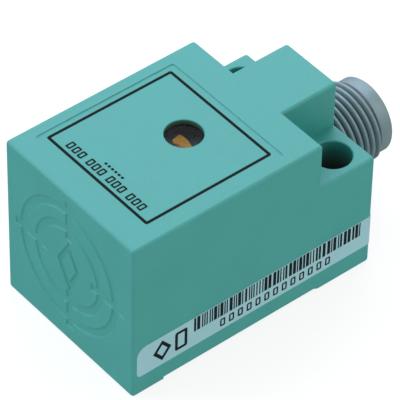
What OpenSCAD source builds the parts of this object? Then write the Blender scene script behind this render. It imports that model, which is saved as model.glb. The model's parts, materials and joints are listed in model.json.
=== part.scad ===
// Block proximity sensor: a square plastic body with its sensing face at the front,
// two screw ears and an M12 plug connector at the rear.
// X runs across the body, Y runs from the sensing face to the connector, Z runs up.
// The origin lies midway between the two screw holes, on the mounting plane.

/* [Housing] */
// Width of the body
body_w = 25.9; // [25.6:0.1:27]
// Height of the body
body_h = 26; // [25.8:0.1:27]
// Length from the sensing face to the rear face
body_l = 40; // [39.8:0.1:41]
// Length of the full-width block in front of the ears
block_l = 30.85; // [30.4:0.05:31]
// Width of the neck between the ears
neck_w = 10; // [9:0.1:10.5]
// Height of the screw ears
ear_h = 18.7; // [18:0.1:20]
// Radius of the outer edges
edge_r = 0.6; // [0.3:0.05:0.6]
// Thickness of the side walls
wall = 1.1; // [1:0.05:1.2]
// Thickness of the wall behind the sensing face
face_t = 1.4; // [1.2:0.05:1.45]
// Thickness of the top wall
top_t = 1.3; // [1.1:0.05:1.35]
// Depth of the printing recess in the top
recess_t = 0.15; // [0.1:0.05:0.3]

/* [Underside] */
// Height of the feet below the middle of the base
foot_h = 0.7; // [0.5:0.05:0.75]
// Length of the front foot
front_foot_l = 5.1; // [4:0.1:5.5]
// Length of the rear foot
rear_foot_l = 8.3; // [8:0.1:9]
// Thickness of the base cover
cover_t = 1.2; // [1:0.05:1.2]

/* [Fixing holes] */
// Distance between the two screw holes
screw_spacing = 18.2; // [17.8:0.1:18.6]
// Diameter of the screw holes
screw_hole_d = 5.2; // [4.5:0.1:5.4]
// Distance of the screw holes from the sensing face
screw_from_face = 36; // [35.8:0.1:36.5]

/* [Sensing face] */
// Outer diameter of the large ring mark
large_ring_d = 20; // [19:0.1:21]
// Outer diameter of the small ring mark
small_ring_d = 13.9; // [13:0.1:14.5]
// Width of the ring marks and of the cross ticks
mark_w = 1.2; // [1:0.05:1.3]
// Depth of the marks
mark_t = 0.2; // [0.1:0.05:0.3]

/* [Indicator] */
// Diameter of the indicator window
window_d = 5.2; // [4.8:0.1:5.4]
// Distance of the indicator window from the sensing face
window_from_face = 18.6; // [18:0.1:20]
// Depth of the lens below the printed panel
lens_depth = 0.7; // [0.25:0.05:0.75]

/* [Connector] */
// Outer diameter of the connector thread
thread_d = 12; // [11.8:0.05:12.2]
// Pitch of the connector thread
thread_pitch = 1; // [1:0.05:1.05]
// Number of thread ridges
thread_turns = 8; // [7:1:9]
// Length of the plain collar behind the thread
collar_l = 2; // [1.5:0.1:2.5]
// Inner diameter of the plug socket
socket_d = 8.5; // [8.4:0.05:8.6]
// Depth of the plug socket
socket_depth = 8.8; // [8:0.1:9]
// Diameter of the circle that the contact pins stand on
pin_circle_d = 5.5; // [5.4:0.05:5.6]
// Diameter of a contact pin
pin_d = 1; // [0.9:0.05:1.05]

/* [Sensing coil] */
// Diameter of the ferrite pot core
core_d = 21.6; // [21:0.1:21.7]
// Height of the ferrite pot core
core_h = 6.8; // [6.5:0.1:6.9]

/* [Hidden] */
$fn = 96;
eps = 0.01;
fit_gap = 0.05;

// Underside
base_z = foot_h;
rear_foot_y = body_l - rear_foot_l;
foot_slope = 1.35;
seat_y0 = 6.2;
seat_y1 = block_l - 1.1;
seat_half = body_w / 2 - 1.25;
seat_z = base_z + cover_t;
lip = 0.7;
seat_r = 1.2;

// Cavity
cavity_z0 = seat_z + lip;
cavity_z1 = body_h - top_t;
cavity_y0 = face_t;
cavity_y1 = block_l - 1.6;
cavity_half = body_w / 2 - wall;

// Sensing face
axis_z = 13.6;
tick_out = 11;
tick_in = 4.5;
emblem_w = 4.6;
emblem_h = 8.4;

// Top
recess_half = 11.1;
recess_y0 = 3.35;
recess_y1 = 25.85;
recess_r = 0.4;

// Connector
plug_z = 11.3;
thread_r = thread_d / 2;
thread_root_r = thread_r - 0.6 * thread_pitch;
crest_w = 0.2 * thread_pitch;
flank_w = 0.3 * thread_pitch;
thread_l = (thread_turns + 0.3) * thread_pitch;
collar_r = thread_root_r + 0.05;
collar_chamfer = 0.3;
socket_r = socket_d / 2;
bore_r = 5.2;
stem_l = 8.5;
stopper_l = body_l - stem_l - cavity_y1 - 2 * fit_gap;
tip_y = body_l + thread_l + collar_l;
floor_y = tip_y - socket_depth;
carrier_y = body_l - 7.5;
key_w = 0.9;
key_t = 0.5;
pin_tip = 1.5;
pin_taper = 0.35;
pin_back_y = cavity_y1 - 0.8;

// Circuit board
board_t = 1;
board_z = 21.6;
board_top = board_z + board_t;
board_half = 10.8;
board_y0 = 9.9;
board_y1 = cavity_y1 - 0.3;
stop_w = 1.7;
stop_l = 3;
stop_ys = [12.2, 24.4];
chip_pitch = 1.7;
lead_r = 0.55;
lead_bend = 1.2;
near_row_y = 26.4;
far_row_y = 24.2;

// Sensing coil
core_r = core_d / 2;
core_y = face_t + 0.1;
post_r = 4.6;
core_hole_r = 2.2;
window_r = 8.95;
coil_depth = 4.6;
slot_w = 3.8;
bobbin_wall = 0.4;
coil_r = 8.3;
holder_t = 1.2;
wire_r = 0.15;
wire_bend = 0.4;

// ---- helpers -----------------------------------------------------------------

// Moves what is measured from the sensing face into the frame of the screw holes
module from_face() {
    translate([0, -screw_from_face, 0]) children();
}

// Stands a shape drawn along +Z on an axis that runs along +Y, starting at y
module along_y(x, y, z) {
    translate([x, y, z]) rotate([-90, 0, 0]) children();
}

module rounded_square(w, h, r) {
    square([w - 2 * r, h], center = true);
    square([w, h - 2 * r], center = true);
    for (sx = [-1, 1], sy = [-1, 1])
        translate([sx * (w / 2 - r), sy * (h / 2 - r)]) circle(r);
}

// A plate from y0 to y1 with rounded corners, its bottom at z
module plate(half, y0, y1, z, t, r) {
    translate([0, (y0 + y1) / 2, z])
        linear_extrude(t) rounded_square(2 * half, y1 - y0, r);
}

// A box on x = 0 from y0 to y1 and from z = 0 up, with every edge rounded
module rounded_block(w, y0, y1, h, r) {
    l = y1 - y0;
    translate([0, (y0 + y1) / 2, h / 2])
        intersection() {
            translate([0, 0, -h / 2]) linear_extrude(h) rounded_square(w, l, r);
            rotate([90, 0, 0]) translate([0, 0, -l / 2]) linear_extrude(l) rounded_square(w, h, r);
            rotate([0, 90, 0]) translate([0, 0, -w / 2]) linear_extrude(w) rounded_square(h, l, r);
        }
}

// A chip part lying on the board: a body with a metal cap at each end
module chip(x, y, z, l, w, t) {
    cap = 0.3;
    translate([x - l / 2 + cap, y - w / 2, z]) cube([l - 2 * cap, w, t]);
    for (end = [x - l / 2, x + l / 2 - cap])
        translate([end, y - w / 2 - 0.05, z]) cube([cap, w + 0.1, t + 0.05]);
}

// A quarter turn of wire in the plane of Y and Z, from an angle measured from +Y towards +Z
module quarter_bend(centre, from_angle, bend_r, r) {
    translate(centre) rotate([90, 0, 90]) rotate(from_angle)
        rotate_extrude(angle = 90) translate([bend_r, 0]) circle(r);
}

// ---- housing -----------------------------------------------------------------

module body_shape() {
    rounded_block(body_w, 0, block_l, body_h, edge_r);
    rounded_block(neck_w, block_l / 2, body_l, body_h, edge_r);
    rounded_block(body_w, block_l / 2, body_l, ear_h, edge_r);
}

module foot_relief() {
    translate([-body_w / 2 - 1, 0, 0]) rotate([90, 0, 90])
        linear_extrude(body_w + 2)
            polygon([[front_foot_l, -1], [front_foot_l, base_z],
                     [rear_foot_y - foot_slope, base_z], [rear_foot_y, 0], [rear_foot_y, -1]]);
}

module ring_mark(d) {
    difference() {
        circle(d = d);
        circle(d = d - 2 * mark_w);
    }
}

module diamond(w, h) {
    polygon([[-w / 2, 0], [0, -h / 2], [w / 2, 0], [0, h / 2]]);
}

module face_marks() {
    along_y(0, -eps, axis_z) linear_extrude(mark_t + eps) {
        ring_mark(large_ring_d);
        ring_mark(small_ring_d);
        for (turn = [0, 90, 180, 270])
            rotate(turn) translate([tick_in, -mark_w / 2]) square([tick_out - tick_in, mark_w]);
        difference() {
            diamond(emblem_w, emblem_h);
            diamond(emblem_w - 1.6, emblem_h - 2.9);
        }
    }
}

module board_stops() {
    for (side = [-1, 1], y = stop_ys)
        translate([side * (cavity_half - stop_w / 2) - stop_w / 2, y, board_top])
            cube([stop_w, stop_l, cavity_z1 - board_top]);
}

module housing() {
    color("#6bb4ba") from_face() {
        difference() {
            body_shape();
            foot_relief();
            face_marks();
            plate(recess_half, recess_y0, recess_y1, body_h - recess_t, 1, recess_r);
            difference() {
                translate([-cavity_half, cavity_y0, cavity_z0])
                    cube([2 * cavity_half, cavity_y1 - cavity_y0, cavity_z1 - cavity_z0]);
                board_stops();
            }
            plate(seat_half - lip, seat_y0 + lip, seat_y1 - lip, 0, cavity_z0 + eps, seat_r - lip / 2);
            plate(seat_half, seat_y0, seat_y1, 0, seat_z, seat_r);
            translate([0, window_from_face, cavity_z1 - eps]) cylinder(h = top_t + 1, d = window_d);
            along_y(0, cavity_y1 - eps, plug_z) cylinder(h = body_l, r = bore_r);
            for (side = [-1, 1])
                translate([side * screw_spacing / 2, screw_from_face, -1])
                    cylinder(h = ear_h + 2, d = screw_hole_d);
        }
    }
}

module base_cover() {
    color("#5aa49f") from_face()
        plate(seat_half - fit_gap, seat_y0 + fit_gap, seat_y1 - fit_gap, base_z, cover_t, seat_r - fit_gap);
}

module indicator_lens() {
    color("#3a3428") from_face() translate([0, window_from_face, cavity_z1]) {
        translate([0, 0, -0.7]) cylinder(h = 0.7, d = window_d + 1);
        cylinder(h = top_t - recess_t - lens_depth, d = window_d - 2 * fit_gap);
    }
}

module type_label() {
    label_y0 = 0.65;
    label_l = 38.7;
    label_h = 5.05;
    label_z = 3.3;
    label_t = 0.08;
    color("#8eb8c0") from_face()
        translate([body_w / 2, label_y0 + label_l / 2, label_z + label_h / 2])
            rotate([90, 0, 90]) linear_extrude(label_t) rounded_square(label_l, label_h, 0.8);
}

// ---- connector ---------------------------------------------------------------

function ridge(i) = let (y = body_l + i * thread_pitch) [
    [thread_root_r, y],
    [thread_r, y + flank_w],
    [thread_r, y + flank_w + crest_w],
    [thread_root_r, y + 2 * flank_w + crest_w]
];

module connector_shell() {
    outline = concat(
        [[socket_r, body_l - stem_l], [bore_r - fit_gap, body_l - stem_l],
         [bore_r - fit_gap, body_l]],
        [for (i = [0 : thread_turns - 1]) each ridge(i)],
        [[thread_root_r, body_l + thread_l], [collar_r, body_l + thread_l],
         [collar_r, tip_y - collar_chamfer], [collar_r - collar_chamfer, tip_y], [socket_r, tip_y]]);
    color("#8d9ca6") from_face() {
        along_y(0, 0, plug_z) rotate_extrude() polygon(outline);
        translate([0, 0, plug_z]) rotate([0, 45, 0])
            translate([socket_r - key_t, floor_y + fit_gap, -key_w / 2])
                cube([key_t + 0.2, socket_depth - 1, key_w]);
    }
}

// Where pin n stands, from the axis of the plug
function pin_at(n) = pin_circle_d / 2 * [cos(90 * n), sin(90 * n)];

module contact_carrier() {
    color("#2b2d30") from_face() difference() {
        along_y(0, carrier_y, plug_z) cylinder(h = floor_y - carrier_y, r = socket_r - fit_gap);
        for (n = [0 : 3])
            along_y(pin_at(n)[0], carrier_y - 1, plug_z + pin_at(n)[1])
                cylinder(h = socket_depth + stem_l, d = pin_d);
    }
}

module contact_pin(n) {
    color("#d8b25a") from_face() along_y(pin_at(n)[0], pin_back_y, plug_z + pin_at(n)[1]) {
        shank = tip_y - pin_tip - pin_taper - pin_back_y;
        cylinder(h = shank, d = pin_d);
        translate([0, 0, shank]) cylinder(h = pin_taper, d1 = pin_d, d2 = pin_d - pin_taper);
    }
}

module sealing_plug() {
    color("#3c3f3a") from_face() difference() {
        along_y(0, cavity_y1, plug_z) cylinder(h = stopper_l, r = bore_r - fit_gap);
        for (n = [0 : 3])
            along_y(pin_at(n)[0], cavity_y1 - 1, plug_z + pin_at(n)[1])
                cylinder(h = stopper_l + 2, d = pin_d);
    }
}

// An insulated lead from the back of pin n, forward to row_y and up to the board
module pin_lead(n, row_y, tint) {
    x = pin_at(n)[0];
    z = plug_z + pin_at(n)[1];
    color(tint) from_face() {
        along_y(x, row_y + lead_bend, z) cylinder(h = pin_back_y - row_y - lead_bend, r = lead_r);
        quarter_bend([x, row_y + lead_bend, z + lead_bend], 180, lead_bend, lead_r);
        translate([x, row_y, z + lead_bend]) cylinder(h = board_z - z - lead_bend, r = lead_r);
    }
}

// ---- electronics -------------------------------------------------------------

module circuit_board() {
    color("#2f6b3c") from_face()
        plate(board_half, board_y0, board_y1, board_z, board_t, 0.6);
}

module sensor_chip() {
    body = [8.6, 3.9, 1.4];
    leg = 0.4;
    pitch = 1.27;
    stand_off = 0.15;
    color("#26282b") from_face() translate([0, 15.5, board_z]) {
        translate([-body[0] / 2, -body[1] / 2, -stand_off - body[2]]) cube(body);
        for (i = [-3 : 3], side = [-1, 1]) {
            translate([i * pitch - leg / 2, side * (body[1] / 2 + 0.45) - 0.55, -0.75]) cube([leg, 1.1, 0.2]);
            translate([i * pitch - leg / 2, side * (body[1] / 2 + 1) - 0.1, -0.75]) cube([leg, 0.2, 0.75]);
        }
    }
}

module output_transistor() {
    color("#26282b") from_face() translate([-6.2, 20.5, board_z]) {
        translate([-2.25, -1.25, -1.5]) cube([4.5, 2.5, 1.5]);
        for (x = [-1.5, 0, 1.5])
            translate([x - 0.2, -2.05, -0.4]) cube([0.4, 0.9, 0.4]);
    }
}

module protection_diode() {
    color("#303236") from_face() translate([6.2, 20.5, board_z]) {
        translate([-2.15, -1.8, -2.2]) cube([4.3, 3.6, 2.2]);
        for (side = [-1, 1])
            translate([side * 2.4 - 0.3, -1, -0.3]) cube([0.6, 2, 0.3]);
    }
}

module smoothing_capacitor() {
    color("#c9963c") from_face() chip(-6.4, 13.6, board_top, 3.5, 2.8, 1.8);
}

module chip_capacitors() {
    color("#a9855c") from_face()
        for (i = [0 : 3])
            chip(6.4, 12.8 + chip_pitch * i, board_top, 1.6, 0.8, 0.8);
}

module chip_resistors() {
    color("#33373c") from_face()
        for (column = [[-6.4, 18.2], [6.4, 20.4]], i = [0 : 2])
            chip(column[0], column[1] + chip_pitch * i, board_top, 1.6, 0.8, 0.45);
}

module status_led() {
    color("#f0a030") from_face() translate([0, window_from_face, board_top]) {
        translate([-1.1, -0.8, 0]) cube([2.2, 1.6, 0.6]);
        translate([0, 0, 0.6]) cylinder(h = 0.4, d = 1.4);
    }
}

// ---- sensing coil ------------------------------------------------------------

module core_holder() {
    holder_y = core_y + core_h;
    color("#d9d6cc") from_face() {
        translate([-core_r, holder_y, cavity_z0 + 0.2])
            cube([2 * core_r, holder_t, axis_z + core_r - cavity_z0 - 0.2]);
        translate([-9, holder_y, seat_z]) cube([18, holder_t, cavity_z0 + 0.3 - seat_z]);
        along_y(0, core_y + 1, axis_z) cylinder(h = core_h - 1 + eps, r = core_hole_r - fit_gap);
    }
}

module ferrite_core() {
    color("#3b3b40") from_face() difference() {
        along_y(0, core_y, axis_z) cylinder(h = core_h, r = core_r);
        along_y(0, core_y - 1, axis_z) cylinder(h = core_h + 2, r = core_hole_r);
        along_y(0, core_y - eps, axis_z) difference() {
            cylinder(h = coil_depth + eps, r = window_r);
            translate([0, 0, -1]) cylinder(h = coil_depth + 2, r = post_r);
        }
        for (side = [-1, 1])
            translate([-slot_w / 2, core_y - eps, axis_z + side * (core_r + window_r) / 2 - 1.5])
                cube([slot_w, coil_depth + eps, 3]);
    }
}

module coil_bobbin() {
    hub_r = post_r + fit_gap;
    rim_r = window_r - fit_gap;
    bobbin_l = coil_depth - 0.2;
    color("#e6e2d4") from_face() along_y(0, core_y + 0.1, axis_z) rotate_extrude()
        polygon([[hub_r, 0], [rim_r, 0], [rim_r, bobbin_wall], [hub_r + bobbin_wall, bobbin_wall],
                 [hub_r + bobbin_wall, bobbin_l - bobbin_wall], [rim_r, bobbin_l - bobbin_wall],
                 [rim_r, bobbin_l], [hub_r, bobbin_l]]);
}

module coil_winding() {
    color("#b4632c") from_face() along_y(0, core_y + 0.1 + bobbin_wall, axis_z) difference() {
        cylinder(h = coil_depth - 0.2 - 2 * bobbin_wall, r = coil_r);
        translate([0, 0, -1]) cylinder(h = coil_depth + 2, r = post_r + fit_gap + bobbin_wall);
    }
}

// Two enamelled wires, up out of the core's slot, back over the core and down to the board
module coil_leads() {
    start_y = core_y + coil_depth / 2;
    end_y = board_y0 + 1.2;
    start_z = axis_z + coil_r;
    run_z = (axis_z + core_r + cavity_z1) / 2;
    color("#b4632c") from_face()
        for (x = [-1, 1]) {
            translate([x, start_y, start_z]) cylinder(h = run_z - wire_bend - start_z, r = wire_r);
            quarter_bend([x, start_y + wire_bend, run_z - wire_bend], 90, wire_bend, wire_r);
            along_y(x, start_y + wire_bend, run_z)
                cylinder(h = end_y - start_y - 2 * wire_bend, r = wire_r);
            quarter_bend([x, end_y - wire_bend, run_z - wire_bend], 0, wire_bend, wire_r);
            translate([x, end_y, board_top]) cylinder(h = run_z - wire_bend - board_top, r = wire_r);
        }
}

housing();
base_cover();
indicator_lens();
type_label();
connector_shell();
contact_carrier();
contact_pin(0);  // contact_pin_1
contact_pin(1);  // contact_pin_2
contact_pin(2);  // contact_pin_3
contact_pin(3);  // contact_pin_4
sealing_plug();
pin_lead(0, near_row_y, "#5a3a22");  // brown_lead
pin_lead(1, near_row_y, "#e8e8e4");  // white_lead
pin_lead(2, near_row_y, "#2a5aa8");  // blue_lead
pin_lead(3, far_row_y, "#222222");  // black_lead
circuit_board();
sensor_chip();
output_transistor();
protection_diode();
smoothing_capacitor();
chip_capacitors();
chip_resistors();
status_led();
core_holder();
ferrite_core();
coil_bobbin();
coil_winding();
coil_leads();
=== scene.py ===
"""Looks of the block proximity sensor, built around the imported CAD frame.

Lengths in this file are millimetres. X runs across the body, Y is measured from the
sensing face towards the connector, and Z is measured up from the mounting plane.
"""

import json
import math
import random

import bmesh
import bpy
from mathutils import Matrix, Vector


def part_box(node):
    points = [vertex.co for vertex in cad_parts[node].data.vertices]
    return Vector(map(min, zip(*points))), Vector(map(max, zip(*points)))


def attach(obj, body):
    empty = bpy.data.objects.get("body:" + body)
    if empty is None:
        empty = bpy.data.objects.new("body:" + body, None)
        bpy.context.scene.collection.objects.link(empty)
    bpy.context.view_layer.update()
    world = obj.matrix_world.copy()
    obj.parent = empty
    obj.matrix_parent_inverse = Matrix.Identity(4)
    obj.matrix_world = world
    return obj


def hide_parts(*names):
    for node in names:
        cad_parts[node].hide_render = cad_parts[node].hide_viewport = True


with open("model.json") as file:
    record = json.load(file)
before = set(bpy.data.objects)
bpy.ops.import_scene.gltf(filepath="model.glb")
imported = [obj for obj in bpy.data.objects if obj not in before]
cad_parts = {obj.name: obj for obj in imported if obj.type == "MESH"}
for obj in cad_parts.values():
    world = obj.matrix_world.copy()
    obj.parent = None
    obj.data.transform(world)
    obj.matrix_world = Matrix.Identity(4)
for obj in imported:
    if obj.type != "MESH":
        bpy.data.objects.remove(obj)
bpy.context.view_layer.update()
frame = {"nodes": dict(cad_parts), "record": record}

MM = 0.001
TAU = 2 * math.pi

# ---- sizes from the frame ----------------------------------------------------

body_lo, body_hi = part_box("housing")
shell_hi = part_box("connector_shell")[1]
cover_lo, cover_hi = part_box("base_cover")
lens_lo, lens_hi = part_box("indicator_lens")
label_lo, label_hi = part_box("type_label")
led_lo, led_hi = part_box("status_led")
carrier_lo, carrier_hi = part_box("contact_carrier")
mounts = {m["name"]: m for m in frame["record"]["mounts"]}

FACE_Y = body_lo.y
BODY_W = (body_hi.x - body_lo.x) / MM
BODY_H = body_hi.z / MM
BODY_L = (body_hi.y - body_lo.y) / MM
EAR_H = mounts["right_screw_hole"]["dims"]["length_mm"]
SCREW_X = mounts["right_screw_hole"]["pos_m"][0] / MM
SCREW_Y = -FACE_Y / MM
SCREW_R = mounts["right_screw_hole"]["dims"]["r_mm"]
AXIS_Z = mounts["sensing_face"]["pos_m"][2] / MM
PLUG_Z = mounts["connector_thread"]["pos_m"][2] / MM
THREAD_R = mounts["connector_thread"]["dims"]["r_mm"]
TIP_Y = (shell_hi.y - FACE_Y) / MM

# the housing's sizes that the frame doesn't give, as in part.scad, but with sharper edges
BLOCK_L = 30.85
NECK_W = 10.0
EDGE_R = 0.5
EDGE_SEGMENTS = 5
WALL = 1.1
FACE_T = 1.4
TOP_T = 1.3

FOOT_H = cover_lo.z / MM
FRONT_FOOT_L = 5.1
REAR_FOOT_L = 8.3
FOOT_SLOPE = 1.35
LIP = 0.7
SEAT_GAP = 0.05
SEAT_R = 1.2
SEAT_HALF = cover_hi.x / MM + SEAT_GAP
SEAT_Y0 = (cover_lo.y - FACE_Y) / MM - SEAT_GAP
SEAT_Y1 = (cover_hi.y - FACE_Y) / MM + SEAT_GAP
SEAT_Z = cover_hi.z / MM

RECESS_T = 0.15
RECESS_HALF = 11.1
RECESS_Y0 = 3.35
RECESS_Y1 = 25.85
RECESS_Z = BODY_H - RECESS_T

CAVITY_HALF = BODY_W / 2 - WALL
CAVITY_Z0 = SEAT_Z + LIP
CAVITY_Z1 = BODY_H - TOP_T
CAVITY_REAR_Y = BLOCK_L - 1.6
BOARD_STOP_Y = (12.2, 24.4)
BOARD_STOP_L = 3
BOARD_STOP_T = 1.7
BOARD_STOP_Z = 22.6

WINDOW_R = 2.6
WINDOW_Y = ((lens_lo.y + lens_hi.y) / 2 - FACE_Y) / MM

MARK_W = 1.2
MARK_T = 0.2
MARK_DRAFT = 0.11
RING_OUTER_R = (10.0, 6.95)
TICK_IN, TICK_OUT = 4.5, 11

PITCH = 1.0
ROOT_R = THREAD_R - 0.6 * PITCH
COLLAR_R = ROOT_R + 0.05
THREAD_TURNS = 7.85
THREAD_START_Y = BODY_L - 0.7
THREAD_START_ANGLE = 230.0
THREAD_END_Y = THREAD_START_Y + (THREAD_TURNS + 1) * PITCH

SOCKET_R = 4.25
SOCKET_FLOOR_Y = (carrier_hi.y - FACE_Y) / MM
STEM_Y = BODY_L - 8.5
PIN_CIRCLE_R = 2.75
BORE_R = 5.2
FIT_GAP = 0.05


# ---- mesh helpers ------------------------------------------------------------

def place(x, y, z):
    return Vector((x * MM, FACE_Y + y * MM, z * MM))


def mesh_object(name, verts, faces):
    mesh = bpy.data.meshes.new(name)
    mesh.from_pydata([place(*v) for v in verts], [], faces)
    bm = bmesh.new()
    bm.from_mesh(mesh)
    bmesh.ops.recalc_face_normals(bm, faces=bm.faces)
    bm.to_mesh(mesh)
    bm.free()
    obj = bpy.data.objects.new(name, mesh)
    bpy.context.scene.collection.objects.link(obj)
    return obj


def loft(name, rings, ends=True):
    """Skins rings of points. The two ends are capped, or joined to each other."""
    n = len(rings[0])
    verts = [p for ring in rings for p in ring]
    pairs = [(k, k + 1) for k in range(len(rings) - 1)]
    if not ends:
        pairs.append((len(rings) - 1, 0))
    faces = [(a * n + i, a * n + (i + 1) % n, b * n + (i + 1) % n, b * n + i)
             for a, b in pairs for i in range(n)]
    if ends:
        faces.append(tuple(range(n)))
        faces.append(tuple(range((len(rings) - 1) * n, len(rings) * n)))
    return mesh_object(name, verts, faces)


def ring_z(x, y, z, r, n=96):
    return [(x + r * math.cos(TAU * i / n), y + r * math.sin(TAU * i / n), z) for i in range(n)]


def ring_y(x, y, z, r, n=96):
    return [(x + r * math.cos(TAU * i / n), y, z + r * math.sin(TAU * i / n)) for i in range(n)]


def rounded_outline(x0, x1, y0, y1, r, steps=6):
    """The outline of a rectangle in two axes, with its corners rounded."""
    corners = [(x0, y0, 1, 1, 180), (x1, y0, -1, 1, 270), (x1, y1, -1, -1, 0), (x0, y1, 1, -1, 90)]
    points = []
    for x, y, x_in, y_in, start in corners:
        for k in range(steps + 1):
            a = math.radians(start + 90 * k / steps)
            points.append((x + x_in * r + r * math.cos(a), y + y_in * r + r * math.sin(a)))
    return points


def replace_mesh(obj):
    """Turns an object's modifiers into its own mesh."""
    graph = bpy.context.evaluated_depsgraph_get()
    made = bpy.data.meshes.new_from_object(obj.evaluated_get(graph))
    old = obj.data
    obj.modifiers.clear()
    obj.data = made
    bpy.data.meshes.remove(old)


def combine(obj, tool, operation="DIFFERENCE"):
    mod = obj.modifiers.new("combine", "BOOLEAN")
    mod.operation = operation
    mod.solver = "EXACT"
    mod.object = tool
    replace_mesh(obj)
    bpy.data.objects.remove(tool)


def box_tool(x0, x1, y0, y1, z0, z1):
    return loft("tool", [[(x0, y0, z), (x1, y0, z), (x1, y1, z), (x0, y1, z)] for z in (z0, z1)])


def rounded_block(half, y0, y1, height):
    """A box standing on z = 0 across x = 0, with every edge rounded. Its points are snapped, so
    that blocks with a shared face really share it."""
    obj = box_tool(-half, half, y0, y1, 0, height)
    bm = bmesh.new()
    bm.from_mesh(obj.data)
    bmesh.ops.bevel(bm, geom=bm.edges[:], offset=EDGE_R * MM, offset_type="OFFSET",
                    segments=EDGE_SEGMENTS, profile=0.5, affect="EDGES", clamp_overlap=True)
    for vert in bm.verts:
        vert.co = [round(c, 7) for c in vert.co]
    bm.to_mesh(obj.data)
    bm.free()
    return obj


def plate_tool(half, y0, y1, levels, r):
    """A rounded plate whose outline grows by a little at each level: levels are (z, growth)."""
    rings = []
    for z, g in levels:
        outline = rounded_outline(-half - g, half + g, y0 - g, y1 + g, r + g)
        rings.append([(x, y, z) for x, y in outline])
    return loft("tool", rings)


def rounded_rim(r, edge, flare, steps=4):
    """(height above the edge, radius) of a hole's wall that rolls out by flare at its mouth."""
    rim = []
    for k in range(steps + 1):
        a = math.pi / 2 * k / steps
        rim.append((edge - flare + flare * math.sin(a), r + flare * (1 - math.cos(a))))
    return rim


def smooth(obj, angle, weighted):
    """Shades an object smooth across every edge that turns by less than angle degrees."""
    obj.data.shade_smooth()
    obj.data.set_sharp_from_angle(angle=math.radians(angle))
    if weighted:
        mod = obj.modifiers.new("even_shading", "WEIGHTED_NORMAL")
        mod.keep_sharp = True
        mod.weight = 80


def finish_piece(obj, material, slot, *nodes, angle=30, weighted=True):
    """Gives a piece its material and its place in the frame. nodes are the CAD nodes it replaces."""
    obj.data.materials.clear()
    obj.data.materials.append(material)
    smooth(obj, angle, weighted)
    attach(obj, "root")
    if nodes:
        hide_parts(*nodes)


# ---- materials ---------------------------------------------------------------

class Nodes:
    """Adds and links the nodes of one material."""

    def __init__(self, name):
        self.material = bpy.data.materials.new(name)
        self.material.use_nodes = True
        self.tree = self.material.node_tree
        self.tree.nodes.clear()
        self.output = self.tree.nodes.new("ShaderNodeOutputMaterial")
        self.where = self.add("ShaderNodeTexCoord").outputs["Object"]

    def add(self, kind, inputs=None, **settings):
        node = self.tree.nodes.new(kind)
        for key, value in settings.items():
            setattr(node, key, value)
        for key, value in (inputs or {}).items():
            self.put(node.inputs[key], value)
        return node

    def put(self, socket, value):
        if isinstance(value, bpy.types.NodeSocket):
            self.tree.links.new(value, socket)
        else:
            socket.default_value = value

    def noise(self, size_mm, detail=2.0, rough=0.5):
        """Noise whose lumps are about size_mm across."""
        node = self.add("ShaderNodeTexNoise", {"Vector": self.where, "Scale": 1 / (size_mm * MM),
                                               "Detail": detail, "Roughness": rough})
        return node.outputs["Fac"]

    def ramp(self, value, low, high, to_low=0.0, to_high=1.0):
        return self.add("ShaderNodeMapRange", {"Value": value, "From Min": low, "From Max": high,
                                               "To Min": to_low, "To Max": to_high}).outputs["Result"]

    def math(self, operation, a, b=0.0):
        return self.add("ShaderNodeMath", {0: a, 1: b}, operation=operation).outputs[0]

    def mix(self, factor, a, b):
        node = self.add("ShaderNodeMix", data_type="RGBA")
        self.put(node.inputs[0], factor)
        self.put(node.inputs[6], a)
        self.put(node.inputs[7], b)
        return node.outputs[2]

    def vector_math(self, operation, output, a, b=None):
        inputs = {0: a} if b is None else {0: a, 1: b}
        return self.add("ShaderNodeVectorMath", inputs, operation=operation).outputs[output]

    def edges(self, width_mm):
        """1 along convex and concave edges, 0 on flat ground."""
        bevel = self.add("ShaderNodeBevel", {"Radius": width_mm * MM}, samples=4).outputs["Normal"]
        normal = self.add("ShaderNodeNewGeometry").outputs["Normal"]
        return self.ramp(self.vector_math("DOT_PRODUCT", "Value", bevel, normal), 0.998, 0.93)

    def finish(self, shader):
        self.tree.links.new(shader, self.output.inputs["Surface"])
        return self.material


# fraction of the colour left where painted shade is darkest, unless a shade colour is given
SHADE_GAIN = 0.22


def tint(colour, gain):
    return tuple(min(1.0, c * gain) for c in colour[:3]) + (1.0,)


def surface(name, colour, rough=0.45, grain_mm=0.12, grain_depth=0.006, variation=0.05, wear=0.0,
            wear_tint=1.4, wear_mm=0.25, cloud_mm=7.0, shade_mask=None, shade_colour=None, **shader):
    """A finished surface: colour that drifts and speckles, a fine grain in the relief and the gloss,
    and edges rubbed to wear_tint times the colour. The mask function gives from 0 to 1 where the
    colour darkens into painted shade in hollows. Anything in shader is set on the shader's own socket."""
    n = Nodes(name)
    cloud = n.noise(cloud_mm, 3.0, 0.55)
    grain = n.noise(grain_mm, 3.0, 0.6)
    speck = n.noise(grain_mm * 3.1, 2.0, 0.5)
    mixed = n.math("ADD", n.math("MULTIPLY", cloud, 0.6), n.math("MULTIPLY", speck, 0.4))
    base = n.mix(n.ramp(mixed, 0.36, 0.64), tint(colour, 1 - variation), tint(colour, 1 + variation))
    gloss = n.ramp(n.math("ADD", n.math("MULTIPLY", grain, 0.5), n.math("MULTIPLY", cloud, 0.5)),
                   0.35, 0.65, rough * 0.88, min(1.0, rough * 1.12))
    if wear:
        rub = n.math("MULTIPLY", n.edges(wear_mm), n.ramp(n.noise(1.3, 4.0, 0.65), 0.42, 0.62))
        rub = n.math("MULTIPLY", rub, wear)
        base = n.mix(rub, base, tint(colour, wear_tint))
    # painted shade: the colour darkens in hollows, as far as the mask says
    if shade_mask:
        base = n.mix(shade_mask(n), base, shade_colour or tint(colour, SHADE_GAIN))
    bump = n.add("ShaderNodeBump", {"Strength": 1.0, "Distance": grain_depth * MM, "Height": grain})
    bsdf = n.add("ShaderNodeBsdfPrincipled", {"Base Color": base, "Roughness": gloss,
                                              "Normal": bump.outputs["Normal"]})
    for key, value in shader.items():
        bsdf.inputs[key.replace("_", " ")].default_value = value
    return n.finish(bsdf.outputs["BSDF"])


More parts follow.
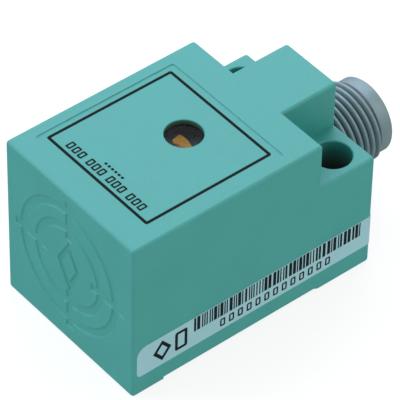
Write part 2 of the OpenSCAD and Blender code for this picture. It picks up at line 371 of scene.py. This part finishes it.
def slot_colour(slot):
    for material in frame["record"]["materials"]:
        if material["slot"] == slot:
            return tuple(material["base_color"][:3])
    raise ValueError(slot)


TURQUOISE = (0.047, 0.335, 0.305)
# the dark colour painted deep in the screw holes and the window as their shade
HOLE_SHADE = (0.062, 0.062, 0.044, 1.0)


def hole_shade(n):
    """Painted shade: 1 deep inside the two screw holes and the window, fading out towards their mouths."""
    split = n.add("ShaderNodeSeparateXYZ", {0: n.where})
    sideways = n.math("ABSOLUTE", split.outputs["X"])

    def shade(x, y, radius, z_clear, z_dark, most):
        across = n.math("SUBTRACT", sideways, x * MM)
        along = n.math("SUBTRACT", split.outputs["Y"], place(0, y, 0).y)
        squares = n.math("ADD", n.math("MULTIPLY", across, across), n.math("MULTIPLY", along, along))
        near = n.ramp(n.math("SQRT", squares), (radius + 0.3) * MM, (radius + 0.05) * MM)
        return n.math("MULTIPLY", near, n.ramp(split.outputs["Z"], z_clear * MM, z_dark * MM, 0.0, most))

    screws = shade(SCREW_X, SCREW_Y, SCREW_R, EAR_H - 0.1, EAR_H - 4.5, 0.95)
    window = shade(0.0, WINDOW_Y, WINDOW_R, RECESS_Z - 0.04, RECESS_Z - 0.4, 0.85)
    return n.math("MAXIMUM", screws, window)


# the housing's colour darkens with painted shade deep in the screw holes and the window
housing_mat = surface("housing_plastic", TURQUOISE, rough=0.42, grain_mm=0.14, grain_depth=0.004,
                      variation=0.035, wear=0.35, wear_tint=1.35, shade_mask=hole_shade, shade_colour=HOLE_SHADE,
                      Specular_IOR_Level=0.5)
cover_mat = surface("cover_plastic", (0.045, 0.29, 0.25), rough=0.5, grain_mm=0.2, grain_depth=0.008,
                    variation=0.05, wear=0.3, wear_tint=1.3)
print_mat = surface("panel_ink", (0.006, 0.010, 0.009), rough=0.5, grain_mm=0.1, grain_depth=0.003,
                    variation=0.25, cloud_mm=2.0, Specular_IOR_Level=0.06)
film_mat = surface("label_film", (0.31, 0.57, 0.62), rough=0.36, grain_mm=0.2, grain_depth=0.002,
                   variation=0.03, wear=0.3, wear_tint=1.15, wear_mm=0.08)
film_ink_mat = surface("label_ink", (0.008, 0.015, 0.017), rough=0.45, grain_mm=0.1, grain_depth=0.002,
                       variation=0.25, cloud_mm=1.5, Specular_IOR_Level=0.1)


def thread_root_shade(n):
    """Painted shade: highest at the root of the thread, fading out towards its crest and towards the
    collar.
    """
    centre = n.vector_math("SUBTRACT", 0, n.where, (0, 0, PLUG_Z * MM))
    across = n.vector_math("MULTIPLY", 0, centre, (1, 0, 1))
    radius = n.vector_math("LENGTH", "Value", across)
    along = n.add("ShaderNodeSeparateXYZ", {0: n.where}).outputs["Y"]
    depth = n.ramp(radius, (ROOT_R + 0.02) * MM, (ROOT_R + 0.42) * MM, 0.9, 0.0)
    before = n.ramp(along, place(0, THREAD_END_Y + 0.05, 0).y, place(0, THREAD_END_Y + 0.01, 0).y)
    depth = n.math("MULTIPLY", depth, before)
    return n.math("MULTIPLY", depth, n.ramp(along, place(0, THREAD_END_Y, 0).y,
                                            place(0, THREAD_END_Y - 3.2, 0).y, 0.4, 1.0))


# the thread's roots darken with painted shade
shell_mat = surface("shell_metal", (0.215, 0.305, 0.332), rough=0.45, grain_mm=0.1, grain_depth=0.003,
                    variation=0.06, wear=0.5, wear_tint=1.35, wear_mm=0.12, cloud_mm=2.5,
                    shade_mask=thread_root_shade, Metallic=0.3)
carrier_mat = surface("carrier_plastic", (0.018, 0.019, 0.021), rough=0.48, grain_mm=0.12,
                      grain_depth=0.004, variation=0.15, wear=0.4, wear_tint=2.2, wear_mm=0.1)
gold_mat = surface("contact_gold", (0.80, 0.55, 0.22), rough=0.22, grain_mm=0.06, grain_depth=0.001,
                   variation=0.05, cloud_mm=1.0, wear=0.3, wear_tint=0.8, wear_mm=0.08, Metallic=1.0)


# ---- housing -----------------------------------------------------------------

def make_housing():
    half = BODY_W / 2
    body = rounded_block(half, 0, BLOCK_L, BODY_H)
    body.name = "housing_body"
    combine(body, rounded_block(NECK_W / 2, BLOCK_L / 2, BODY_L, BODY_H), "UNION")
    combine(body, rounded_block(half, BLOCK_L / 2, BODY_L, EAR_H), "UNION")
    cut_foot_relief(body)
    cut_cavity(body)
    cut_holes(body)
    cut_recess(body)
    cut_face_marks(body)
    finish_piece(body, housing_mat, "housing", "housing", angle=28)


def cut_foot_relief(body):
    """Leaves a front and a rear foot across the whole width."""
    side = BODY_W / 2 + 1
    rear_foot_y = BODY_L - REAR_FOOT_L
    relief = [(FRONT_FOOT_L, -1), (FRONT_FOOT_L, FOOT_H), (rear_foot_y - FOOT_SLOPE, FOOT_H),
              (rear_foot_y, 0), (rear_foot_y, -1)]
    combine(body, loft("tool", [[(x, y, z) for y, z in relief] for x in (-side, side)]))


def cut_cavity(body):
    """The hollow with its four board stops, the seat of the base cover and the plug's bore."""
    cavity = box_tool(-CAVITY_HALF, CAVITY_HALF, FACE_T, CAVITY_REAR_Y, CAVITY_Z0, CAVITY_Z1)
    for side in (-1, 1):
        for y in BOARD_STOP_Y:
            x0, x1 = sorted((side * (CAVITY_HALF - BOARD_STOP_T), side * (CAVITY_HALF + 1)))
            combine(cavity, box_tool(x0, x1, y, y + BOARD_STOP_L, BOARD_STOP_Z, CAVITY_Z1 + 1))
    combine(body, cavity)
    combine(body, plate_tool(SEAT_HALF - LIP, SEAT_Y0 + LIP, SEAT_Y1 - LIP,
                             [(0, 0), (CAVITY_Z0 + 0.2, 0)], SEAT_R - LIP / 2))
    combine(body, plate_tool(SEAT_HALF, SEAT_Y0, SEAT_Y1,
                             [(0, 0.2), (FOOT_H, 0.2), (FOOT_H + 0.2, 0), (SEAT_Z, 0)], SEAT_R))
    combine(body, loft("tool", [ring_y(0, y, PLUG_Z, BORE_R) for y in (BLOCK_L - 2, BODY_L + 1)]))


def cut_holes(body):
    """The two screw holes and the window, each with a rolled rim."""
    rim = rounded_rim(SCREW_R, EAR_H, 0.22)
    profile = [(-1, SCREW_R + 0.3), (0, SCREW_R + 0.3), (0.3, SCREW_R)] + rim + [(EAR_H + 1, rim[-1][1])]
    for side in (-1, 1):
        combine(body, loft("tool", [ring_z(side * SCREW_X, SCREW_Y, z, r) for z, r in profile]))

    rim = rounded_rim(WINDOW_R, RECESS_Z, 0.12)
    profile = [(CAVITY_Z1 - 0.2, WINDOW_R)] + rim + [(BODY_H + 1, rim[-1][1])]
    combine(body, loft("tool", [ring_z(0, WINDOW_Y, z, r) for z, r in profile]))


def cut_recess(body):
    """The shallow field on the top that the panel is printed in."""
    levels = [(RECESS_Z, -0.05), (RECESS_Z + 0.03, 0.02), (BODY_H, 0.1), (BODY_H + 0.5, 0.1)]
    combine(body, plate_tool(RECESS_HALF - 0.1, RECESS_Y0 + 0.1, RECESS_Y1 - 0.1, levels, 0.4))


def cut_face_marks(body):
    """Ring grooves, four ticks and a plain diamond outline, each with a little draft."""
    above, draft = -0.5, MARK_DRAFT
    for outer in RING_OUTER_R:
        inner = outer - MARK_W
        section = [(above, outer + draft), (0, outer + draft), (MARK_T, outer - draft),
                   (MARK_T, inner + draft), (0, inner - draft), (above, inner - draft)]
        combine(body, loft("tool", [ring_y(0, y, AXIS_Z, r, 128) for y, r in section], ends=False))
    for turn in range(4):
        a = math.pi / 2 * turn
        rings = []
        for y, g in ((above, draft), (0, draft), (MARK_T, -draft)):
            u0, u1, v1 = TICK_IN - g, TICK_OUT + g, MARK_W / 2 + g
            rings.append([(u * math.cos(a) - v * math.sin(a), y, AXIS_Z + u * math.sin(a) + v * math.cos(a))
                          for u, v in ((u0, -v1), (u1, -v1), (u1, v1), (u0, v1))])
        combine(body, loft("tool", rings))
    rings = []
    for y, w, h in ((above, 4.85, 8.65), (0, 4.85, 8.65), (MARK_T, 4.4, 8.2), (MARK_T, 3.2, 5.7),
                    (0, 2.75, 5.25), (above, 2.75, 5.25)):
        corners = ((-w / 2, 0), (0, -h / 2), (w / 2, 0), (0, h / 2))
        rings.append([(u, y, AXIS_Z + v) for u, v in corners])
    combine(body, loft("tool", rings, ends=False))


def make_base_cover():
    levels = [(FOOT_H, -0.25), (FOOT_H + 0.08, -0.08), (FOOT_H + 0.25, 0), (SEAT_Z, 0)]
    cover = plate_tool(SEAT_HALF - SEAT_GAP, SEAT_Y0 + SEAT_GAP, SEAT_Y1 - SEAT_GAP, levels,
                       SEAT_R - SEAT_GAP)
    cover.name = "base_cover_plate"
    border = 2.2
    combine(cover, plate_tool(SEAT_HALF - border, SEAT_Y0 + border, SEAT_Y1 - border,
                              [(0, 0.1), (FOOT_H, 0.1), (FOOT_H + 0.15, 0)], 0.8))
    finish_piece(cover, cover_mat, "cover", "base_cover")


# ---- printed shapes ----------------------------------------------------------

PRINT_T = 0.012
PRINT_SINK = 0.01


def solid_shapes(name, outlines, place_at):
    """Filled shapes printed on one surface, as one mesh. place_at(u, v, height)."""
    verts, faces = [], []
    for outline in outlines:
        start, n = len(verts), len(outline)
        for height in (0.0, PRINT_SINK + PRINT_T):
            verts += [place_at(u, v, height) for u, v in outline]
        faces.append(tuple(range(start, start + n)))
        faces.append(tuple(range(start + n, start + 2 * n)))
        for i in range(n):
            j = (i + 1) % n
            faces.append((start + i, start + j, start + n + j, start + n + i))
    return mesh_object(name, verts, faces)


def frame_shape(name, outer, inner, place_at):
    """A closed band between two outlines, printed on a surface. place_at(u, v, height)."""
    low, high = 0.0, PRINT_SINK + PRINT_T
    rings = [[place_at(u, v, height) for u, v in outline] for height, outline in
             ((low, outer), (high, outer), (high, inner), (low, inner))]
    return loft(name, rings, ends=False)


# ---- top panel print ---------------------------------------------------------

PANEL_LINE = 0.44
PANEL_X0, PANEL_X1 = -10.05, 9.71
PANEL_Y0, PANEL_Y1 = 4.71, 24.60


def on_panel(u, v, height):
    return u, v, RECESS_Z - PRINT_SINK + height


def panel_boxes():
    """Where the blank boxes stand, in four groups of three."""
    x = -7.6
    for k in range(12):
        yield x
        x += 1.14 if k % 3 < 2 else 1.72


def make_panel_print():
    outer, inner = [rounded_outline(PANEL_X0 - g, PANEL_X1 + g, PANEL_Y0 - g, PANEL_Y1 + g,
                                    0.12 + max(g, 0), 3) for g in (PANEL_LINE / 2, -PANEL_LINE / 2)]
    border = frame_shape("panel_border", outer, inner, on_panel)
    finish_piece(border, print_mat, "housing", weighted=False)

    width, height, line, y = 0.86, 1.3, 0.25, 5.42
    for k, x in enumerate(panel_boxes()):
        outer = rounded_outline(x, x + width, y, y + height, 0.12, 2)
        inner = rounded_outline(x + line, x + width - line, y + line, y + height - line, 0.05, 2)
        box = frame_shape("panel_box_%02d" % (k + 1), outer, inner, on_panel)
        finish_piece(box, print_mat, "housing", weighted=False)

    starts = [-2.0 + 0.66 * k for k in range(6)]
    dashes = [rounded_outline(x, x + 0.42, 7.25, 7.62, 0.08, 2) for x in starts]
    finish_piece(solid_shapes("panel_dashes", dashes, on_panel), print_mat, "housing", weighted=False)


# ---- side label --------------------------------------------------------------

LABEL_X = label_lo.x / MM
LABEL_T = (label_hi.x - label_lo.x) / MM
LABEL_Y0 = (label_lo.y - FACE_Y) / MM
LABEL_Z0, LABEL_Z1 = label_lo.z / MM, label_hi.z / MM
LABEL_FLAT = BODY_L - EDGE_R - LABEL_Y0
LABEL_BEND = EDGE_R * math.pi / 2
LABEL_L = LABEL_FLAT + LABEL_BEND + 1.1
LABEL_BIG_R = 1.5
LABEL_R = 0.7
LABEL_SINK = 0.004
LABEL_END_TRIM = 0.004


def label_path(s):
    """Where a point of the film is, s along it from its front end: (x, y) and the way out."""
    if s <= LABEL_FLAT:
        return LABEL_X, LABEL_Y0 + s, 1.0, 0.0
    turn = (s - LABEL_FLAT) / EDGE_R
    if turn <= math.pi / 2:
        out_x, out_y = math.cos(turn), math.sin(turn)
        return LABEL_X - EDGE_R + EDGE_R * out_x, BODY_L - EDGE_R + EDGE_R * out_y, out_x, out_y
    rest = s - LABEL_FLAT - LABEL_BEND
    return LABEL_X - EDGE_R - rest, BODY_L, 0.0, 1.0


def label_stops():
    """Where the film has cross sections: close together at its two ends and round the bend."""
    stops = [LABEL_BIG_R * (1 - math.cos(math.pi / 2 * k / 8)) for k in range(9)]
    stops += [LABEL_BIG_R + (LABEL_FLAT - LABEL_BIG_R) * k / 24 for k in range(1, 25)]
    stops += [LABEL_FLAT + LABEL_BEND * k / 8 for k in range(1, 9)]
    stops += [LABEL_L - LABEL_R + LABEL_R * math.sin(math.pi / 2 * k / 6) for k in range(7)]
    stops[-1] -= LABEL_END_TRIM
    return stops


def corner_rise(r, distance):
    """How far a corner of radius r has pulled the edge in, at a distance past its start."""
    return r - math.sqrt(max(0.0, r ** 2 - max(0.0, distance) ** 2))


def make_label():
    """A film with a large front top corner and small ones elsewhere, bent round the rear edge."""
    rings = []
    for s in label_stops():
        x, y, out_x, out_y = label_path(s)
        top = corner_rise(LABEL_BIG_R, LABEL_BIG_R - s)
        low = corner_rise(LABEL_R, LABEL_R - s)
        back = corner_rise(LABEL_R, s - (LABEL_L - LABEL_R))
        z0, z1 = LABEL_Z0 + max(low, back), LABEL_Z1 - max(top, back)
        inner, outer = -LABEL_SINK, LABEL_T - PRINT_T
        rings.append([(x + out_x * d, y + out_y * d, z) for d, z in
                      ((inner, z0), (outer, z0 + 0.02), (outer, z1 - 0.02), (inner, z1))])
    film = loft("label_film", rings)
    finish_piece(film, film_mat, "label", "type_label", angle=20)
    make_label_print()


def on_label(u, v, height):
    return LABEL_X + LABEL_T - PRINT_T - PRINT_SINK + height, u, v


def make_label_print():
    """Random bars that encode nothing, a row of blank boxes, a diamond and a rectangle."""
    rng = random.Random(7)
    bars_end, z0, z1 = 38.0, 5.85, 8.25
    outlines = []
    y = 9.95
    while y < bars_end:
        bar = rng.choice((0.2, 0.2, 0.34, 0.5))
        outlines.append([(y, z0), (y + bar, z0), (y + bar, z1), (y, z1)])
        y += bar + rng.choice((0.17, 0.17, 0.3))
    finish_piece(solid_shapes("label_bars", outlines, on_label), film_ink_mat, "label", weighted=False)

    width, line, z0, z1 = 0.85, 0.24, 3.95, 5.3
    for k in range(13):
        y = 14.3 + k * 1.48
        outer = rounded_outline(y, y + width, z0, z1, 0.15, 2)
        inner = rounded_outline(y + line, y + width - line, z0 + line, z1 - line, 0.06, 2)
        box = frame_shape("label_box_%02d" % (k + 1), outer, inner, on_label)
        finish_piece(box, film_ink_mat, "label", weighted=False)

    y, z = 4.75, 5.85
    outer, inner = [[(y - w, z), (y, z - h), (y + w, z), (y, z + h)]
                    for w, h in ((1.5, 1.8), (0.85, 1.05))]
    diamond = frame_shape("label_mark_a", outer, inner, on_label)
    finish_piece(diamond, film_ink_mat, "label", weighted=False)
    outer, inner = [rounded_outline(6.85 + g, 8.85 - g, 4.25 + g, 7.5 - g, max(0.05, 0.3 - g), 3)
                    for g in (0.0, 0.45)]
    rectangle = frame_shape("label_mark_b", outer, inner, on_label)
    finish_piece(rectangle, film_ink_mat, "label", weighted=False)


# ---- indicator ---------------------------------------------------------------

def lens_resin():
    n = Nodes("lens_resin")
    cloud = n.noise(1.5, 2.0)
    grain = n.noise(0.3, 2.0)
    colour = n.mix(n.ramp(cloud, 0.35, 0.65), (0.28, 0.35, 0.26, 1), (0.34, 0.38, 0.28, 1))
    bump = n.add("ShaderNodeBump", {"Strength": 1.0, "Distance": 0.003 * MM, "Height": grain})
    bsdf = n.add("ShaderNodeBsdfPrincipled", {
        "Base Color": colour, "Roughness": n.ramp(grain, 0.3, 0.7, 0.05, 0.1),
        "Normal": bump.outputs["Normal"], "Transmission Weight": 1.0, "IOR": 1.06,
        "Coat Weight": 1.0, "Coat IOR": 1.17, "Coat Roughness": 0.1})
    return n.finish(bsdf.outputs["BSDF"])


def make_lens():
    """A disc in the window with a flange below it, and a slightly dished top."""
    bottom, top = lens_lo.z / MM, lens_hi.z / MM
    seat = CAVITY_Z1 - 0.02
    r = WINDOW_R - FIT_GAP
    flange_r = r + 0.5
    profile = [(bottom, flange_r - 0.1), (bottom + 0.1, flange_r), (seat, flange_r), (seat, r),
               (top - 0.1, r), (top - 0.03, r - 0.03), (top, r - 0.12)]
    profile += [(top - 0.28 * (1 - (k / 6) ** 2), (r - 0.2) * k / 6) for k in (5, 4, 3, 2, 1)]
    lens = loft("indicator_lens_body", [ring_z(0, WINDOW_Y, z, rad, 64) for z, rad in profile])
    finish_piece(lens, lens_resin(), "lens", "indicator_lens", angle=25)


def make_lamp():
    """The lamp on the board and the light guide that carries its colour up under the lens."""
    top = led_hi.z / MM
    rings = []
    for z, g in ((led_lo.z / MM, 0.0), (top - 0.48, 0.0), (top - 0.4, 0.08)):
        outline = rounded_outline(-1.1 + g, 1.1 - g, WINDOW_Y - 0.8 + g, WINDOW_Y + 0.8 - g, 0.15)
        rings.append([(x, y, z) for x, y in outline])
    amber = surface("lamp_amber", (0.60, 0.26, 0.03), rough=0.35, grain_mm=0.1, grain_depth=0.003,
                    variation=0.15, cloud_mm=0.5, Emission_Color=(0.9, 0.36, 0.03, 1),
                    Emission_Strength=0.08)
    finish_piece(loft("indicator_lamp", rings), amber, "led", "status_led")

    guide = [(-1.72, 0.66), (-1.36, 0.80), (-0.30, 0.86), (1.25, 0.42), (0.88, -0.22), (-0.58, 0.12),
             (-0.75, -0.48), (-1.10, -0.86), (-1.52, -0.62)]
    stem, under = 0.35, lens_lo.z / MM
    levels = [(top - 0.42, stem), (under - 0.36, stem), (under - 0.3, 1.0), (under - 0.05, 1.0)]
    rings = [[(x * g, WINDOW_Y + y * g, z) for x, y in guide] for z, g in levels]
    lit = surface("lamp_lit", (0.85, 0.40, 0.03), rough=0.3, grain_mm=0.1, grain_depth=0.003,
                  variation=0.12, cloud_mm=0.6, Emission_Color=(0.95, 0.38, 0.03, 1),
                  Emission_Strength=0.62)
    finish_piece(loft("indicator_light_guide", rings), lit, "led")


# ---- connector ---------------------------------------------------------------

def thread_section():
    """One pitch of the thread: (distance along the pitch, height above the root)."""
    h = THREAD_R - ROOT_R
    return [(0.0, 0.0), (0.08, 0.0), (0.13, 0.05), (0.25, h - 0.14), (0.31, h - 0.04), (0.38, h),
            (0.62, h), (0.69, h - 0.04), (0.75, h - 0.14), (0.87, 0.05), (0.92, 0.0)]


def make_shell():
    """The plug body as one closed skin: a right-hand thread, the collar and the socket inside it."""
    n = 120
    profile = thread_section()
    k_count = len(profile)
    steps = round(n * THREAD_TURNS)
    verts, faces = [], []

    def angle(i):
        return math.radians(THREAD_START_ANGLE) - TAU * i / n

    def vertex(i, y, r):
        verts.append((r * math.cos(angle(i)), y, PLUG_Z + r * math.sin(angle(i))))
        return len(verts) - 1

    def height(i):
        run = 0.15 * n
        return max(0.02, min(1.0, i / run, (steps - i) / run))

    ridge = [[vertex(i, THREAD_START_Y + PITCH * (i / n + dy), ROOT_R + h * height(i))
              for dy, h in profile] for i in range(steps + 1)]
    tail = [vertex(steps + j, THREAD_START_Y + PITCH * (steps + j) / n, ROOT_R)
            for j in range(1, n + 1)]
    seam = [row[0] for row in ridge] + tail

    for i in range(steps):
        for k in range(k_count - 1):
            faces.append((ridge[i][k], ridge[i][k + 1], ridge[i + 1][k + 1], ridge[i + 1][k]))
        faces.append((ridge[i][k_count - 1], seam[i + n], seam[i + n + 1], ridge[i + 1][k_count - 1]))
    faces.append(tuple(ridge[0]) + (seam[n],))
    faces.append(tuple(ridge[steps]) + (seam[steps + n],))

    def lathe_ring(y, r):
        return [vertex(i, y, r) for i in range(n)]

    def skin(a, b):
        for i in range(n):
            faces.append((a[i], a[(i + 1) % n], b[(i + 1) % n], b[i]))

    low = lathe_ring(THREAD_START_Y - 0.02, ROOT_R)
    for i in range(n - 1):
        faces.append((low[i], low[i + 1], seam[i + 1], seam[i]))
    faces.append((low[n - 1], low[0], seam[0], seam[n], seam[n - 1]))
    high = lathe_ring(THREAD_END_Y + 0.02, ROOT_R)
    faces.append((seam[steps], seam[steps + 1], high[1], high[0], seam[steps + n]))
    for i in range(1, n):
        faces.append((seam[steps + i], seam[steps + i + 1], high[(i + 1) % n], high[i]))

    bore_fit = BORE_R - FIT_GAP
    outline = [(THREAD_END_Y + 0.06, COLLAR_R), (TIP_Y - 0.38, COLLAR_R), (TIP_Y - 0.3, COLLAR_R - 0.03),
               (TIP_Y - 0.06, COLLAR_R - 0.26), (TIP_Y, COLLAR_R - 0.34), (TIP_Y, SOCKET_R + 0.28),
               (TIP_Y - 0.06, SOCKET_R + 0.2), (TIP_Y - 0.3, SOCKET_R), (SOCKET_FLOOR_Y - 0.6, SOCKET_R),
               (STEM_Y, SOCKET_R), (STEM_Y, bore_fit), (THREAD_START_Y - 0.02, bore_fit)]
    last = high
    for y, r in outline:
        ring = lathe_ring(y, r)
        skin(last, ring)
        last = ring
    skin(last, low)
    shell = mesh_object("connector_body", verts, faces)
    make_key()
    finish_piece(shell, shell_mat, "shell", "connector_shell", angle=40, weighted=False)


def make_key():
    """The coding key along the inside of the socket, with a sloped front end."""
    half, inner, outer = 0.45, SOCKET_R - 0.5, SOCKET_R + 0.3
    a = math.radians(-45)
    rings = []
    for y, lift in ((SOCKET_FLOOR_Y - 0.5, 0.0), (TIP_Y - 1.0, 0.0), (TIP_Y - 0.75, 0.2)):
        corners = [(inner + lift, -half), (outer, -half), (outer, half), (inner + lift, half)]
        rings.append([(u * math.cos(a) - v * math.sin(a), y, PLUG_Z + u * math.sin(a) + v * math.cos(a))
                      for u, v in corners])
    finish_piece(loft("connector_key", rings), shell_mat, "shell", angle=40, weighted=False)


def pin_places():
    for k in range(4):
        a = math.pi / 2 * k
        yield k + 1, PIN_CIRCLE_R * math.cos(a), PLUG_Z + PIN_CIRCLE_R * math.sin(a)


def make_contacts():
    back = (carrier_lo.y - FACE_Y) / MM
    front = SOCKET_FLOOR_Y
    r = SOCKET_R - FIT_GAP
    profile = [(back, r - 0.2), (back + 0.2, r), (front - 0.2, r), (front, r - 0.2), (front, r - 0.5),
               (front - 0.15, r - 0.6), (front - 0.15, 1.05), (front, 0.95), (front, 0.5)]
    carrier = loft("contact_insert", [ring_y(0, y, PLUG_Z, rad) for y, rad in profile])
    for _, x, z in pin_places():
        boss = loft("tool", [ring_y(x, y, z, rad, 32) for y, rad in
                             ((front - 0.6, 0.85), (front - 0.05, 0.85), (front, 0.8))])
        combine(carrier, boss, "UNION")
    finish_piece(carrier, carrier_mat, "carrier", "contact_carrier", angle=35)
    for number, x, z in pin_places():
        node = "contact_pin_%d" % number
        lo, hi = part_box(node)
        y0, y1 = (lo.y - FACE_Y) / MM, (hi.y - FACE_Y) / MM
        radius = (hi.x - lo.x) / 2 / MM
        section = [(y0, radius * 0.7), (y0 + 0.12, radius), (y1 - 0.55, radius)]
        section += [(y1 - 0.55 + 0.55 * math.sin(t), radius * (0.25 + 0.75 * math.cos(t)))
                    for t in (0.4, 0.75, 1.1, 1.35, math.pi / 2)]
        pin = loft("pin_%d" % number, [ring_y(x, y, z, rad, 32) for y, rad in section])
        finish_piece(pin, gold_mat, "contact", node, angle=40)


# ---- pieces inside the housing -----------------------------------------------

INSIDE = {
    "sealing_plug": dict(slot="sealant", rough=0.35, grain_mm=0.4),
    "brown_lead": dict(slot="lead_brown", rough=0.4),
    "white_lead": dict(slot="lead_white", rough=0.4),
    "blue_lead": dict(slot="lead_blue", rough=0.4),
    "black_lead": dict(slot="lead_black", rough=0.4),
    "circuit_board": dict(slot="board", rough=0.3, grain_mm=0.25, grain_depth=0.01, variation=0.12),
    "sensor_chip": dict(slot="chip", rough=0.5, grain_mm=0.08, variation=0.2),
    "output_transistor": dict(slot="chip", rough=0.5, grain_mm=0.08, variation=0.2),
    "protection_diode": dict(slot="chip", rough=0.5, grain_mm=0.08, variation=0.2),
    "smoothing_capacitor": dict(slot="tantalum", rough=0.4, variation=0.1),
    "chip_capacitors": dict(slot="ceramic", rough=0.45, variation=0.1),
    "chip_resistors": dict(slot="resistor", rough=0.35, variation=0.15),
    "core_holder": dict(slot="holder", rough=0.5, variation=0.04),
    "ferrite_core": dict(slot="ferrite", rough=0.55, grain_mm=0.1, grain_depth=0.012, variation=0.2),
    "coil_bobbin": dict(slot="bobbin", rough=0.45, variation=0.04),
    "coil_winding": dict(slot="copper", rough=0.3, grain_mm=0.1, variation=0.15, Metallic=0.8),
    "coil_leads": dict(slot="copper", rough=0.3, grain_mm=0.1, variation=0.15, Metallic=0.8),
}


def finish_inside():
    made = {}
    for node, look in INSIDE.items():
        look = dict(look)
        slot = look.pop("slot")
        if slot not in made:
            made[slot] = surface(slot + "_inside", slot_colour(slot), wear=0.2, wear_mm=0.1, **look)
        obj = frame["nodes"][node]
        obj.data.materials.clear()
        obj.data.materials.append(made[slot])


# ---- studio ------------------------------------------------------------------

# brightness of the room by height of the direction, from straight down to straight up
SKY = [(-1.0, 0.18), (-0.2, 0.22), (-0.02, 0.55), (0.04, 0.88), (0.25, 0.88), (0.42, 0.3), (1.0, 0.3)]

# square lamps: name, direction from the object, distance, side, radiance and colour
LAMPS = [
    ("key_softbox", (-0.52, 0.50, 0.692), 600, 580, 1.8, (0.94, 0.99, 1.2)),
    ("overhead_softbox", (0, 0, 1), 700, 640, 0.5, (0.95, 1.0, 1.06)),
    ("front_softbox", (-0.549, -0.45, 0.705), 600, 460, 2.75, (0.93, 1.0, 1.13)),
    ("fill_softbox", (0.5, 0.6, 0.62), 600, 355, 1.7, (0.95, 1.0, 0.85)),
]
LAMPS_AIM = (0, 20, 12)
FLOOR_R = 1500


def make_world():
    world = bpy.data.worlds.new("studio_world")
    bpy.context.scene.world = world
    world.use_nodes = True
    nodes, links = world.node_tree.nodes, world.node_tree.links
    direction = nodes.new("ShaderNodeTexCoord").outputs["Generated"]
    split = nodes.new("ShaderNodeSeparateXYZ")
    links.new(direction, split.inputs[0])
    height = nodes.new("ShaderNodeMapRange")
    height.inputs["From Min"].default_value = -1.0
    links.new(split.outputs["Z"], height.inputs["Value"])
    tones = nodes.new("ShaderNodeValToRGB")
    links.new(height.outputs[0], tones.inputs[0])
    stops = tones.color_ramp.elements
    while len(stops) > 1:
        stops.remove(stops[-1])
    for z, level in SKY:
        stop = stops[0] if z == SKY[0][0] else stops.new((z + 1) / 2)
        stop.position = (z + 1) / 2
        stop.color = (level, level, level, 1)
    links.new(tones.outputs[0], nodes["Background"].inputs["Color"])


def floor_paper():
    """White paper that glows a little and is clear from below."""
    n = Nodes("floor_paper")
    cloud = n.noise(60.0, 3.0)
    colour = n.mix(cloud, (0.23, 0.23, 0.23, 1), (0.25, 0.25, 0.25, 1))
    paper = n.add("ShaderNodeBsdfDiffuse", {"Color": colour})
    glow = n.add("ShaderNodeEmission", {"Color": (1, 1, 1, 1), "Strength": 0.82})
    lit = n.add("ShaderNodeAddShader", {0: paper.outputs[0], 1: glow.outputs[0]})
    clear = n.add("ShaderNodeBsdfTransparent")
    back = n.add("ShaderNodeNewGeometry").outputs["Backfacing"]
    mixed = n.add("ShaderNodeMixShader", {0: back, 1: lit.outputs[0], 2: clear.outputs[0]})
    return n.finish(mixed.outputs[0])


def make_floor():
    """The upper face of a wide thin disc just under the object."""
    floor = loft("studio_floor", [ring_z(0, 0, z, FLOOR_R, 64) for z in (-0.02, -0.01)])
    bm = bmesh.new()
    bm.from_mesh(floor.data)
    bmesh.ops.delete(bm, geom=[f for f in bm.faces if f.normal.z < 0.5], context="FACES")
    bm.to_mesh(floor.data)
    bm.free()
    floor.data.materials.append(floor_paper())
    floor.visible_glossy = False


def make_softbox(name, way, distance, side, radiance, colour):
    data = bpy.data.lights.new(name, "AREA")
    data.shape = "SQUARE"
    data.size = side * MM
    data.energy = radiance * math.pi * (side * MM) ** 2
    data.color = colour
    lamp = bpy.data.objects.new(name, data)
    bpy.context.scene.collection.objects.link(lamp)
    way = Vector(way).normalized()
    lamp.location = place(*LAMPS_AIM) + way * distance * MM
    lamp.rotation_mode = "QUATERNION"
    lamp.rotation_quaternion = (-way).to_track_quat("-Z", "Y")


def make_studio():
    bpy.context.scene.view_settings.view_transform = "Standard"
    bpy.context.scene.view_settings.look = "None"
    make_world()
    make_floor()
    for lamp in LAMPS:
        make_softbox(*lamp)


# ---- camera ------------------------------------------------------------------
CAMERA_AT = (261.53, -200.25, 343.32)
CAMERA_AZIMUTH = 49.705
CAMERA_ELEVATION = 43.982
CAMERA_ROLL = 1.266
CAMERA_LENS = 331.23


def make_camera():
    data = bpy.data.cameras.new("camera")
    data.sensor_width = 36
    data.lens = CAMERA_LENS
    data.clip_start, data.clip_end = 0.01, 10
    cam = bpy.data.objects.new("camera", data)
    bpy.context.scene.collection.objects.link(cam)
    az, el = math.radians(CAMERA_AZIMUTH), math.radians(CAMERA_ELEVATION)
    back = Vector((math.sin(az) * math.cos(el), -math.cos(az) * math.cos(el), math.sin(el)))
    turn = (-back).to_track_quat("-Z", "Y").to_matrix() @ Matrix.Rotation(math.radians(CAMERA_ROLL), 3, "Z")
    cam.rotation_mode = "QUATERNION"
    cam.rotation_quaternion = turn.to_quaternion()
    cam.location = place(*CAMERA_AT)
    bpy.context.scene.camera = cam


make_camera()
make_studio()
make_housing()
make_base_cover()
make_panel_print()
make_label()
make_lens()
make_lamp()
make_shell()
make_contacts()
finish_inside()
